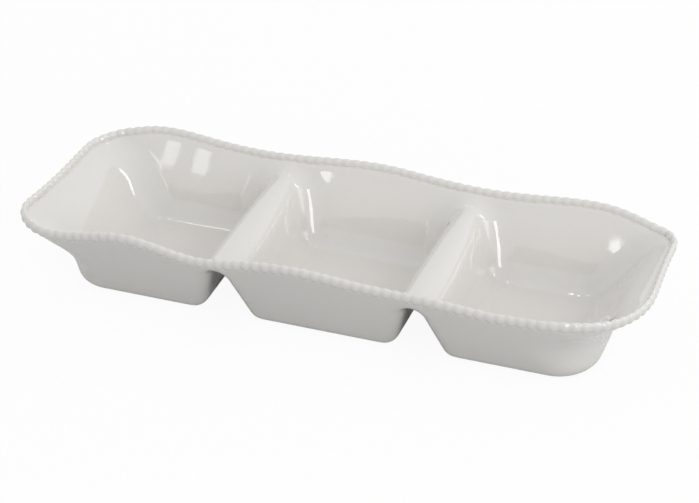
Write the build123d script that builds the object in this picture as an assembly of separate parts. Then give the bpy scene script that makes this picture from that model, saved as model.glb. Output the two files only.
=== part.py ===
from build123d import *
import math
import os

# A serving dish with three wells in a row, in millimetres. It stands on Z = 0 with the wells along X,
# and the origin is under the middle of its box. +Y is the back.

# Body: the corners have one radius at the base and grow or shrink to their own radius at the rim
BASE_LENGTH = 373.0
BASE_WIDTH = 108.0
BASE_CORNER = 24.0
FRONT_LEFT_CORNER = 34.0
FRONT_RIGHT_CORNER = 72.0
BACK_LEFT_CORNER = 28.0
BACK_RIGHT_CORNER = 15.0
WALL = 4.4
FLOOR = 5.0
OUTER_ROUND = 11.0
INNER_ROUND = 18.0

# Walls: each leans out by so much for every millimetre of height. Between two heights the ends swing out
# further in an S to make the lip, and below that they thicken towards the floor by END_HAUNCH.
SIDE_LEAN = 0.43
END_LEAN = 0.36
END_FLARE = 19.0
FLARE_START = 32.0
FLARE_END = 52.0
END_HAUNCH = 16.0

# Dividers: the wall between two wells is folded double, so a notch runs through underneath. On the inside
# the crest of the fold has its own radius at the front, in the middle and at the back.
LEFT_DIVIDER_X = -71.5
RIGHT_DIVIDER_X = 69.5
DIVIDER_WIDTH = 20.0
DIVIDER_SAG = 1.5
NOTCH_GAP = 36.0
NOTCH_HEIGHT = 46.0
NOTCH_RADIUS = 5.5
CREST_RADII = (15.0, 15.0, 8.0)

# Foot: each well stands on a band round a shallow recess
FOOT_WIDTH = 9.0
FOOT_CORNER = 9.0
FOOT_DEPTH = 1.0

# Rim: the mean height of its edge, and how far the edge stands above or below that at stations which
# quarter each well, from left to right. The end edges have their own, from front to back.
RIM_HEIGHT = 56.0
FRONT_WAVE = (3.0, -3.0, 6.0, 2.5, -2.5, 5.0, 6.5, 3.0, 2.0, -1.0, -2.0, -1.0, 0.0)
BACK_WAVE = (1.0, 2.0, 3.0, 0.0, 0.5, 2.5, 4.0, 2.0, 0.0, 1.5, 4.5, 0.5, -1.5)
LEFT_END_WAVE = (5.5, 2.0, 0.0, 1.0, 1.0)
RIGHT_END_WAVE = (-3.0, -0.5, 0.0, -2.5, -1.0)

# Beads along the rim's edge. A bead's girth is where it is widest, as shares of its height and its size.
BEAD_PITCH = 7.15
BEAD_LENGTH = 6.9
BEAD_WIDTH = 6.8
BEAD_HEIGHT = 4.4
BEAD_SIDES = 6
BEAD_GIRTH = 0.4
BEAD_SEAT = 0.8
BEAD_CROWN = 0.5
SEAT_GAP = 0.15

# The waves and corners leave the middle of the dish's box this far off the middle of its base, to the left
# and to the front, so the finished pieces are set over by as much
SET_OVER = Pos(2.45, 0.6)

# How far cutting shapes run past what they cut
PAST = 20.0
TOP = RIM_HEIGHT + max(FRONT_WAVE + BACK_WAVE) + WALL


def flared(z):
    """How much of the lip's swing the wall has made at height z, from 0 to 1."""
    share = min(1.0, max(0.0, (z - FLARE_START) / (FLARE_END - FLARE_START)))
    return share**2 * (3 - 2 * share)


def end_reach(z):
    """How far from the middle the outer end wall is at height z."""
    return BASE_LENGTH / 2 + END_LEAN * z + END_FLARE * flared(z)


def side_reach(z):
    """How far from the middle the outer side wall is at height z."""
    return BASE_WIDTH / 2 + SIDE_LEAN * z


def level_wall(wall_reach, z):
    """The wall's thickness measured level, which is more than WALL where the wall slopes."""
    slope = wall_reach(z + 0.5) - wall_reach(z - 0.5)
    return WALL * math.hypot(1, slope)


def outline(z, depth):
    """The dish's outline at height z, a share of the wall's thickness inside its outer face."""
    haunch = END_HAUNCH * max(0.0, 1 - z / FLARE_START)
    end_wall = depth * (level_wall(end_reach, z) + haunch)
    side_wall = depth * level_wall(side_reach, z)
    length = 2 * (end_reach(z) - end_wall)
    width = 2 * (side_reach(z) - side_wall)
    sheet = Rectangle(length, width)
    corners = {
        (-1, -1): FRONT_LEFT_CORNER,
        (1, -1): FRONT_RIGHT_CORNER,
        (1, 1): BACK_RIGHT_CORNER,
        (-1, 1): BACK_LEFT_CORNER,
    }
    for (x, y), rim_corner in corners.items():
        radius = BASE_CORNER + (rim_corner - BASE_CORNER) * z / RIM_HEIGHT - side_wall
        corner = sheet.vertices().sort_by_distance((x * length / 2, y * width / 2, 0))[0]
        sheet = fillet(corner, radius)
    return Plane.XY.offset(z) * sheet


def tray(bottom, depth):
    """A solid tray with leaning, flaring walls, from a height up past the rim."""
    levels = [bottom, FLARE_START / 2, FLARE_START, (FLARE_START + FLARE_END) / 2, FLARE_END, TOP]
    return loft([outline(z, depth) for z in levels])


def fold_section(x, y, gap, height, radius):
    """A cut through one fold: two leaning flanks, a gap apart at the bottom, that meet in a round crest."""
    centre = height - radius
    lean = math.acos(radius / math.hypot(gap / 2, centre)) - math.atan2(centre, gap / 2)
    foot = (radius + (centre + PAST) * math.sin(lean)) / math.cos(lean)
    shoulder = radius * math.cos(lean)
    shoulder_z = centre + radius * math.sin(lean)
    right_shoulder = (x + shoulder, y, shoulder_z)
    left_shoulder = (x - shoulder, y, shoulder_z)
    crest = ThreePointArc(right_shoulder, (x, y, height), left_shoulder)
    right = Line((x + foot, y, -PAST), right_shoulder)
    left = Line(left_shoulder, (x - foot, y, -PAST))
    return Face(Wire([right, crest, left, Line(left @ 1, right @ 0)]))


def fold(x, gap, height, radii):
    """A fold right across the dish, lower in the middle by DIVIDER_SAG."""
    at_wall = side_reach(NOTCH_HEIGHT)
    end = at_wall + PAST
    rise = DIVIDER_SAG * (end / at_wall) ** 2 - DIVIDER_SAG
    stations = zip((-end, 0, end), (rise, -DIVIDER_SAG, rise), radii)
    return loft([fold_section(x, y, gap, height + step, radius) for y, step, radius in stations])


def fold_edges(body, x, bottom):
    """The closed loop of edges round one fold: its feet on the flat and its mouths in the side walls."""
    near = NOTCH_GAP / 2 + 2 * WALL
    loop = []
    for edge in body.edges():
        box = edge.bounding_box()
        beside = abs(box.center().X - x) < near and box.size.X < 2 * near
        along_skin = box.size.Y > BASE_WIDTH / 2 and box.min.Z > bottom + WALL
        if beside and not along_skin:
            loop.append(edge)
    return loop


def folded_tray(bottom, depth, gap, height, radii, rounding):
    """A tray with both folds cut out of it, rounded at the bottom and round the folds."""
    body = tray(bottom, depth)
    foot_edges = body.faces().sort_by(Axis.Z)[0].edges()
    body = fillet(foot_edges, rounding)
    for x in (LEFT_DIVIDER_X, RIGHT_DIVIDER_X):
        body -= fold(x, gap, height, radii)
    loops = fold_edges(body, LEFT_DIVIDER_X, bottom) + fold_edges(body, RIGHT_DIVIDER_X, bottom)
    return fillet(loops, rounding)


def foot_recesses(body):
    """The shallow recess under each well, inside the band that it stands on."""
    recesses = []
    for flat in body.faces().filter_by(Axis.Z).group_by(Axis.Z)[0]:
        size = flat.bounding_box().size
        sheet = RectangleRounded(size.X - 2 * FOOT_WIDTH, size.Y - 2 * FOOT_WIDTH, FOOT_CORNER)
        recesses.append(extrude(Pos(flat.bounding_box().center()) * sheet, FOOT_DEPTH, dir=(0, 0, 1)))
    return recesses


def rim_surface():
    """The wavy surface that the rim's edge lies on."""
    end = end_reach(RIM_HEIGHT)
    side = side_reach(RIM_HEIGHT)
    turns = [-end, LEFT_DIVIDER_X, RIGHT_DIVIDER_X, end]
    stations = [a + (b - a) * k / 4 for a, b in zip(turns, turns[1:]) for k in range(4)] + [end]
    stations[0] -= PAST
    stations[-1] += PAST
    rows = [-side - PAST] + [side * k / 8 for k in (-6, -3, 0, 3, 6)] + [side + PAST]
    grid = []
    for x, front, back in zip(stations, FRONT_WAVE, BACK_WAVE):
        offsets = [front + (back - front) * k / 6 for k in range(7)]
        if x == stations[0]:
            offsets[1:6] = LEFT_END_WAVE
        if x == stations[-1]:
            offsets[1:6] = RIGHT_END_WAVE
        grid.append([(x, y, RIM_HEIGHT + offset) for y, offset in zip(rows, offsets)])
    return Face.make_surface_from_array_of_points(grid)


def shell_pieces(shell):
    """Parts the shell beside each divider, from left to right."""
    half = DIVIDER_WIDTH / 2
    cuts = {
        "left_well": LEFT_DIVIDER_X - half,
        "left_divider": LEFT_DIVIDER_X + half,
        "centre_well": RIGHT_DIVIDER_X - half,
        "right_divider": RIGHT_DIVIDER_X + half,
    }
    pieces = {}
    for name, x in cuts.items():
        plane = Plane((x, 0, 0), z_dir=(1, 0, 0))
        pieces[name] = split(shell, bisect_by=plane, keep=Keep.BOTTOM)
        shell = split(shell, bisect_by=plane, keep=Keep.TOP)
    pieces["right_well"] = shell
    return pieces


def bead_blank():
    """One bead, flat where it sits, with its length along X."""
    sections = []
    for height, size in ((0, BEAD_SEAT), (BEAD_GIRTH, 1), (1, BEAD_CROWN)):
        corners = []
        for k in range(BEAD_SIDES):
            turn = 2 * math.pi * k / BEAD_SIDES
            corners.append((size * BEAD_LENGTH / 2 * math.cos(turn), size * BEAD_WIDTH / 2 * math.sin(turn)))
        sections.append(Plane.XY.offset(height * BEAD_HEIGHT) * make_face(Polyline(*corners, close=True)))
    return loft(sections, ruled=True).solid()


def bead_runs(edge, surface):
    """Beads all round the rim's edge, sorted into the runs along its four sides."""
    blank = bead_blank()
    end = edge.bounding_box().max.X
    side = edge.bounding_box().max.Y
    count = round(edge.length / BEAD_PITCH)
    runs = {"front_beads": [], "back_beads": [], "left_end_beads": [], "right_end_beads": []}
    for k in range(count):
        along = edge.length * k / count
        seat = edge.position_at(along, PositionMode.LENGTH)
        up = surface.normal_at(seat)
        if up.Z < 0:
            up = -up
        place = Plane(seat + up * SEAT_GAP, x_dir=edge.tangent_at(along, PositionMode.LENGTH), z_dir=up)
        if end - abs(seat.X) < side - abs(seat.Y):
            run = "left_end_beads" if seat.X < 0 else "right_end_beads"
        else:
            run = "front_beads" if seat.Y < 0 else "back_beads"
        runs[run].append(blank.moved(SET_OVER * place.location))
    return runs


os.makedirs("parts", exist_ok=True)
outside = folded_tray(0, 0, NOTCH_GAP, NOTCH_HEIGHT, [NOTCH_RADIUS] * 3, OUTER_ROUND)
inside = folded_tray(FLOOR, 1, NOTCH_GAP + 2 * WALL, NOTCH_HEIGHT + WALL, CREST_RADII, INNER_ROUND)
surface = rim_surface()
above_rim = extrude(surface, 3 * PAST, dir=(0, 0, 1))
shell = outside - inside - above_rim - foot_recesses(outside)
for name, piece in shell_pieces(shell).items():
    export_step(SET_OVER * piece, f"parts/{name}.step")
    print(name, round(piece.volume / 1000), "cm3", len(piece.solids()))

mid_wall = tray(FLOOR, 0.5) - above_rim
rim_edge = mid_wall.faces().sort_by(Axis.Z)[-1].outer_wire()
for name, beads in bead_runs(rim_edge, surface).items():
    export_step(Compound(children=beads), f"parts/{name}.step")
    print(name, len(beads))
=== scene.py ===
# %% [markdown]
# # A divided serving dish in Blender
#
# The dish is one glazed moulding: three wells in a row, two folded walls between them, and a wavy rim
# with a string of beads along its edge. The CAD model gives every shape and size. Blender adds what the
# eye needs: one unbroken glazed skin, round beads, the glaze itself, and the light that shows its gloss.

import math

import bpy
import numpy as np
from mathutils import Matrix, Vector


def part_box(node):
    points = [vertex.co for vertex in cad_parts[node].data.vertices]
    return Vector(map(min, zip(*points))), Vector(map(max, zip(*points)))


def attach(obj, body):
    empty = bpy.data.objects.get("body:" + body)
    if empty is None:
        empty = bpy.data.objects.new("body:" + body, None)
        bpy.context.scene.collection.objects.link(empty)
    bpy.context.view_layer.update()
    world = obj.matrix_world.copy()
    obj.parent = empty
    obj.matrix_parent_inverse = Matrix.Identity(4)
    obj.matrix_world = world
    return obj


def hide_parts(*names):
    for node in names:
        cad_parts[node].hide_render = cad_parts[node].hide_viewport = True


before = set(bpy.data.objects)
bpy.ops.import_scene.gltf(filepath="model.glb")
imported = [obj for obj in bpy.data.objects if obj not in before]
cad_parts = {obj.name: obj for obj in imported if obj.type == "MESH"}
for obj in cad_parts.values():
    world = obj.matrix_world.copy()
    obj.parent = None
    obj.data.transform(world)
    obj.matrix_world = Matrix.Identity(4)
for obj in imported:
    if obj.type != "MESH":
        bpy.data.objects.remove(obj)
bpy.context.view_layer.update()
MM = 0.001

# %% [markdown]
# ## Camera
#
# A long lens from the front right, well above the dish, as in the photograph. The camera is placed by
# where it looks, how far off it stands, and how far it is turned and tipped, which are easier to read
# than a bare position.

# %% Camera
CAMERA_TURN = math.radians(19.5)
CAMERA_TIP = math.radians(31.8)
CAMERA_DISTANCE = 1689 * MM
AIM_RIGHT = 3.5 * MM
AIM_UP = 30.3 * MM
PHOTO_WIDTH = 699
FOCAL_PIXELS = 2378

bpy.ops.object.camera_add(rotation=(math.pi / 2 - CAMERA_TIP, 0, CAMERA_TURN))
camera = bpy.context.object
camera.name = "photo_camera"
camera.data.lens = FOCAL_PIXELS / PHOTO_WIDTH * camera.data.sensor_width
turned = camera.rotation_euler.to_matrix()
camera.location = turned @ Vector((AIM_RIGHT, AIM_UP, CAMERA_DISTANCE))
bpy.context.scene.camera = camera
print("camera at", [round(x, 3) for x in camera.location], "lens", round(camera.data.lens, 1))

# %% [markdown]
# ## Shell
#
# On the real dish the wells and the walls between them are one piece of glazed clay, so no seam may
# show in the gloss. The CAD keeps them as five solids that meet face to face. Their triangles are copied
# into one object and welded, and the hidden faces where they meet are deleted. A voxel remesh then lays
# an even net of small quads over it all, and a little smoothing lets the edges run together the way
# thick glaze does.

# %% Copy the five solids into one skin
SHELL_NODES = ["left_well", "left_divider", "centre_well", "right_divider", "right_well"]
WELD = 0.02 * MM


def select_only(*pieces):
    """Selects these objects and nothing else, and makes the last one active."""
    bpy.ops.object.select_all(action="DESELECT")
    for piece in pieces:
        piece.select_set(True)
        bpy.context.view_layer.objects.active = piece


def copy_of_nodes(nodes, name):
    """One new object with a copy of these CAD nodes' triangles, welded at their edges."""
    select_only(*[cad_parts[node] for node in nodes])
    bpy.ops.object.duplicate()
    if len(nodes) > 1:
        bpy.ops.object.join()
    piece = bpy.context.object
    piece.name = name
    piece.parent = None
    for key in list(piece.keys()):
        del piece[key]
    bpy.ops.object.mode_set(mode="EDIT")
    bpy.ops.mesh.select_all(action="SELECT")
    bpy.ops.mesh.remove_doubles(threshold=WELD)
    bpy.ops.mesh.select_all(action="DESELECT")
    bpy.ops.object.mode_set(mode="OBJECT")
    return piece


shell = copy_of_nodes(SHELL_NODES, "dish_shell")
seams = [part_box(node)[side].x for node in ("left_divider", "right_divider") for side in (0, 1)]
for face in shell.data.polygons:
    corners = [shell.data.vertices[k].co.x for k in face.vertices]
    face.select = any(all(abs(x - seam) < WELD for x in corners) for seam in seams)
hidden = sum(face.select for face in shell.data.polygons)
bpy.ops.object.mode_set(mode="EDIT")
bpy.ops.mesh.delete(type="FACE")
bpy.ops.object.mode_set(mode="OBJECT")
print("hidden faces deleted:", hidden, "left:", len(shell.data.polygons))

# %% Remesh and smooth the skin
VOXEL = 1.75 * MM
SMOOTH_ROUNDS = 8
SMOOTH_FACTOR = 0.5


def apply_modifier(piece, kind, **settings):
    """Adds a modifier with these settings and applies it."""
    select_only(piece)
    modifier = piece.modifiers.new(kind.lower(), kind)
    for key, value in settings.items():
        setattr(modifier, key, value)
    bpy.ops.object.modifier_apply(modifier=modifier.name)


def melt_together(piece, voxel, rounds):
    """Lays one even net over a piece, smooths it this many times and shades it smooth."""
    apply_modifier(piece, "REMESH", mode="VOXEL", voxel_size=voxel)
    apply_modifier(piece, "SMOOTH", factor=SMOOTH_FACTOR, iterations=rounds)
    select_only(piece)
    bpy.ops.object.shade_smooth()
    print(piece.name, len(piece.data.polygons), "faces")


melt_together(shell, VOXEL, SMOOTH_ROUNDS)

# %% [markdown]
# ## Beads
#
# The beads are pressed in the same clay as the rim and the glaze runs over them. Along the top they
# nearly run together, so the rim's outline is almost smooth, and it is at their sides that grooves part
# them. Cut into the shell's own net they would need far smaller faces all over it. Instead one pearl is
# shaped from two spheres: a round one for the bead, and a long narrow one that fills the groove's top.
# A copy goes on each bead of the CAD. A CAD bead is a plain faceted solid, and its own points tell which
# way it lies: it is longest along the rim, then across it, and least upwards.

# %% One pearl
PEARL_ALONG = 3.9 * MM
PEARL_ACROSS = 2.65 * MM
PEARL_UP = 4.1 * MM
ROLL_ALONG = 6.5 * MM
ROLL_ACROSS = 2.1 * MM
ROLL_UP = 4.0 * MM
SPHERE_SEGMENTS = 12
SPHERE_RINGS = 8


def squeezed_sphere(name, along, across, up):
    """A sphere squeezed to these half sizes, with its top level with the pearl's."""
    bpy.ops.object.select_all(action="DESELECT")
    bpy.ops.mesh.primitive_uv_sphere_add(segments=SPHERE_SEGMENTS, ring_count=SPHERE_RINGS, radius=1)
    bpy.context.object.name = name
    bpy.ops.object.mode_set(mode="EDIT")
    bpy.ops.mesh.select_all(action="SELECT")
    bpy.ops.transform.resize(value=(along, across, up))
    bpy.ops.transform.translate(value=(0, 0, PEARL_UP - up))
    bpy.ops.object.mode_set(mode="OBJECT")
    return bpy.context.object


roll = squeezed_sphere("roll", ROLL_ALONG, ROLL_ACROSS, ROLL_UP)
pearl = squeezed_sphere("pearl", PEARL_ALONG, PEARL_ACROSS, PEARL_UP)
select_only(roll, pearl)
bpy.ops.object.join()
print("pearl faces:", len(pearl.data.polygons))

# %% A pearl on every bead
BEAD_NODES = ["front_beads", "back_beads", "left_end_beads", "right_end_beads"]


def bead_place(points):
    """The place and turn of one CAD bead: X along the rim, Y across it and Z up, with the tops level."""
    middle = points.mean(axis=0)
    axes = np.linalg.eigh(np.cov((points - middle).T))[1]
    reach = np.ptp((points - middle) @ axes, axis=0)
    up, _, along = axes.T[np.argsort(reach)]
    if up[2] < 0:
        up = -up
    across = np.cross(up, along)
    top = middle + up * ((points - middle) @ up).max()
    place = Matrix.Identity(4)
    for column, axis in enumerate((along, across, up, top - up * PEARL_UP)):
        for row in range(3):
            place[row][column] = axis[row]
    return place


def pearls_on(node, name):
    """One object with a pearl on each bead of a CAD node."""
    copy_of_nodes([node], name)
    bpy.ops.object.mode_set(mode="EDIT")
    bpy.ops.mesh.select_all(action="SELECT")
    bpy.ops.mesh.separate(type="LOOSE")
    bpy.ops.object.mode_set(mode="OBJECT")
    copies = []
    for bead in list(bpy.context.selected_objects):
        copy = pearl.copy()
        copy.data = pearl.data.copy()
        copy.data.transform(bead_place(np.array([v.co for v in bead.data.vertices])))
        bpy.context.collection.objects.link(copy)
        copies.append(copy)
        bpy.data.objects.remove(bead)
    select_only(*copies)
    bpy.ops.object.join()
    run = bpy.context.object
    run.name = name
    print(name, len(copies), "pearls")
    return run


pearl_runs = [pearls_on(node, node.replace("beads", "pearls")) for node in BEAD_NODES]
bpy.data.objects.remove(pearl)

# %% [markdown]
# ## Glaze over the beads
#
# Copies of a sphere cut through each other in hard creases. A fine voxel remesh joins each run of
# pearls into one closed skin, and smoothing fills the grooves a little, as glaze does when it melts.

# %% Run the pearls together
PEARL_VOXEL = 0.75 * MM
PEARL_SMOOTH_ROUNDS = 2

for run in pearl_runs:
    melt_together(run, PEARL_VOXEL, PEARL_SMOOTH_ROUNDS)

# %% [markdown]
# ## Glaze
#
# The glaze is a warm off-white under a clear gloss. It isn't one flat colour: it is a little thinner
# and greyer in places, its gloss varies, and its surface has a faint unevenness that bends the
# reflections. A painted picture would have to be fitted to every piece. Noise laid out in space needs no
# fitting and runs on from the shell to the beads, so two such noises do the work.

# %% Shader maths as Python expressions
class Value:
    """A number that changes over the surface: a node's socket, with the operators that are used here."""

    def __init__(self, shader, socket):
        self.shader = shader
        self.socket = socket

    def _maths(self, operation, *values):
        return self.shader.node("ShaderNodeMath", {"operation": operation}, dict(enumerate(values)))

    def __add__(self, other):
        return self._maths("ADD", self, other)

    def __mul__(self, other):
        return self._maths("MULTIPLY", self, other)

    __radd__ = __add__
    __rmul__ = __mul__


class Shader:
    """The nodes of a material or of the world, starting from none."""

    def __init__(self, owner):
        owner.use_nodes = True
        self.tree = owner.node_tree
        self.tree.nodes.clear()

    def node(self, kind, settings, sockets, output=0):
        """Adds a node, sets its settings, then gives its sockets their values or links."""
        made = self.tree.nodes.new(kind)
        for key, value in settings.items():
            setattr(made, key, value)
        for key, value in sockets.items():
            if isinstance(value, Value):
                self.tree.links.new(value.socket, made.inputs[key])
            else:
                made.inputs[key].default_value = value
        return Value(self, made.outputs[output]) if made.outputs else None


# %% The glaze
GLAZE_COLOUR = (0.84, 0.82, 0.785, 1)
GLAZE_THIN = (0.80, 0.785, 0.76, 1)
CLOUDS = {"Scale": 14.0, "Detail": 2.0}
RIPPLE = {"Scale": 55.0, "Detail": 1.0}
RIPPLE_DEPTH = 2 * MM
RIPPLE_STRENGTH = 0.03
LEAST_ROUGHNESS = 0.01
ROUGHNESS_SPREAD = 0.04
COAT_WEIGHT = 1.0
COAT_ROUGHNESS = 0.02


def mixed_colour(shader, share, none, full):
    """A colour that goes from one to another as the share goes from 0 to 1."""
    # A Mix node has sockets for every kind of value, and these are the numbers of its colour sockets
    return shader.node("ShaderNodeMix", {"data_type": "RGBA"}, {0: share, 6: none, 7: full}, 2)


off_white_glaze = bpy.data.materials.new("off_white_glaze")
glaze = Shader(off_white_glaze)
place = glaze.node("ShaderNodeTexCoord", {}, {}, "Object")
clouds = glaze.node("ShaderNodeTexNoise", {}, {"Vector": place, **CLOUDS})
ripple = glaze.node("ShaderNodeTexNoise", {}, {"Vector": place, **RIPPLE})
unevenness = {"Strength": RIPPLE_STRENGTH, "Distance": RIPPLE_DEPTH, "Height": ripple}
finish = {
    "Base Color": mixed_colour(glaze, clouds, GLAZE_THIN, GLAZE_COLOUR),
    "Roughness": clouds * ROUGHNESS_SPREAD + LEAST_ROUGHNESS,
    "Normal": glaze.node("ShaderNodeBump", {}, unevenness),
    "Coat Weight": COAT_WEIGHT,
    "Coat Roughness": COAT_ROUGHNESS,
}
skin = glaze.node("ShaderNodeBsdfPrincipled", {}, finish)
glaze.node("ShaderNodeOutputMaterial", {}, {"Surface": skin})
for piece in [shell, *pearl_runs]:
    piece.data.materials.clear()
    piece.data.materials.append(off_white_glaze)
print("glazed pieces:", 1 + len(pearl_runs))

# %% [markdown]
# ## Riding on the frame
#
# The dish has no moving part, so every piece rides on the one body. The shell stands for the five
# solids it was made from, and each run of pearls for its run of beads.

# %% Ride
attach(shell, "root")
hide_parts(*SHELL_NODES)
for run, node in zip(pearl_runs, BEAD_NODES):
    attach(run, "root")
    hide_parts(node)
print("nodes replaced:", len(SHELL_NODES) + len(BEAD_NODES))

# %% [markdown]
# ## Floor and room
#
# The photograph has a plain white ground. The floor is a mid grey to the light, so that it doesn't
# throw much back under the rim. In reflections it is white paper, and darker in the dish's own shadow.
# To the camera it is white as well, with a faint trace of that shadow. It lies a hair below the feet, so
# that the two never share a plane.

# %% Floor
FLOOR_SIZE = 12.0
FLOOR_LEVEL = -0.2 * MM
FLOOR_GREY = (0.5, 0.5, 0.5, 1)
FLOOR_WHITENESS = 0.93
WHITE = (1, 1, 1, 1)
WHITE_STRENGTH = 1.0

bpy.ops.object.select_all(action="DESELECT")
bpy.ops.mesh.primitive_plane_add(size=FLOOR_SIZE, location=(0, 0, FLOOR_LEVEL))
floor = bpy.context.object
floor.name = "floor"


def is_ray(shader, kind):
    """1 for rays of this kind and 0 for all others."""
    return shader.node("ShaderNodeLightPath", {}, {}, f"Is {kind} Ray")


def seen_directly(shader):
    """1 for the camera's own rays, reflections and glass, 0 for light on its way to a dull surface."""
    return is_ray(shader, "Camera") + is_ray(shader, "Glossy") + is_ray(shader, "Transmission")


white_ground = bpy.data.materials.new("white_ground")
ground = Shader(white_ground)
paper_colour = mixed_colour(ground, seen_directly(ground), FLOOR_GREY, WHITE)
paper = ground.node("ShaderNodeBsdfDiffuse", {}, {"Color": paper_colour})
white = ground.node("ShaderNodeEmission", {}, {"Color": WHITE, "Strength": WHITE_STRENGTH})
whiteness = is_ray(ground, "Camera") * FLOOR_WHITENESS
blend = ground.node("ShaderNodeMixShader", {}, {0: whiteness, 1: paper, 2: white})
ground.node("ShaderNodeOutputMaterial", {}, {"Surface": blend})
floor.data.materials.append(white_ground)
print("floor:", FLOOR_SIZE, "m wide")

# %% World
ROOM_LIGHT = 0.72

room = bpy.data.worlds.new("white_room")
bpy.context.scene.world = room
walls = Shader(room)
glow = walls.node("ShaderNodeBackground", {}, {"Color": WHITE, "Strength": ROOM_LIGHT})
backdrop = walls.node("ShaderNodeBackground", {}, {"Color": WHITE, "Strength": WHITE_STRENGTH})
chosen = walls.node("ShaderNodeMixShader", {}, {0: seen_directly(walls), 1: glow, 2: backdrop})
walls.node("ShaderNodeOutputWorld", {}, {"Surface": chosen})
print("room light:", ROOM_LIGHT)

# %% [markdown]
# ## Lamps
#
# A tall narrow window in front on the right lights the right side of each fold and the walls behind,
# and its reflection runs down the hollow edge beside each fold as a thin bright line. A broad soft lamp
# to the right fills that side. The other lamps are small and weak and are there for their reflections,
# because gloss shows only by what it mirrors. Two spots high up behind draw the thin lines along the
# wells' floors. Small panes in front on the left make the bright patches high on the back walls, and one
# on the right makes the patch in the left corner.

# %% Lamps


def lamp(name, place, width, height, watts):
    """A flat lamp that faces the middle of the dish, with its place and size in metres."""
    bpy.ops.object.light_add(type="AREA", location=place)
    box = bpy.context.object
    box.name = name
    box.data.shape = "RECTANGLE"
    box.data.size = width
    box.data.size_y = height
    box.data.energy = watts
    box.rotation_euler = Vector(place).to_track_quat("Z", "Y").to_euler()


lamp("tall_window", (1.9, -1.5, 1.0), 0.5, 1.7, 10.2)
lamp("right_softbox", (1.9, 0.4, 0.8), 1.0, 1.0, 3.5)
lamp("left_line_spot", (-0.58, 0.56, 1.22), 0.06, 0.2, 0.12)
lamp("right_line_spot", (-0.07, 0.56, 1.22), 0.04, 0.2, 0.12)
lamp("left_wall_pane", (-0.593, -1.008, 0.339), 0.018, 0.042, 0.0045)
lamp("second_wall_pane", (-0.555, -1.021, 0.338), 0.018, 0.042, 0.0045)
lamp("centre_wall_pane", (-0.403, -1.033, 0.349), 0.024, 0.02, 0.0045)
lamp("right_wall_pane", (-0.036, -1.074, 0.334), 0.012, 0.014, 0.0021)
lamp("corner_pane", (0.714, 0.472, 0.681), 0.4, 0.1, 0.5)
print("lamps:", len(bpy.data.lights))

# %% Finish: the plain view transform
bpy.context.scene.view_settings.view_transform = "Standard"
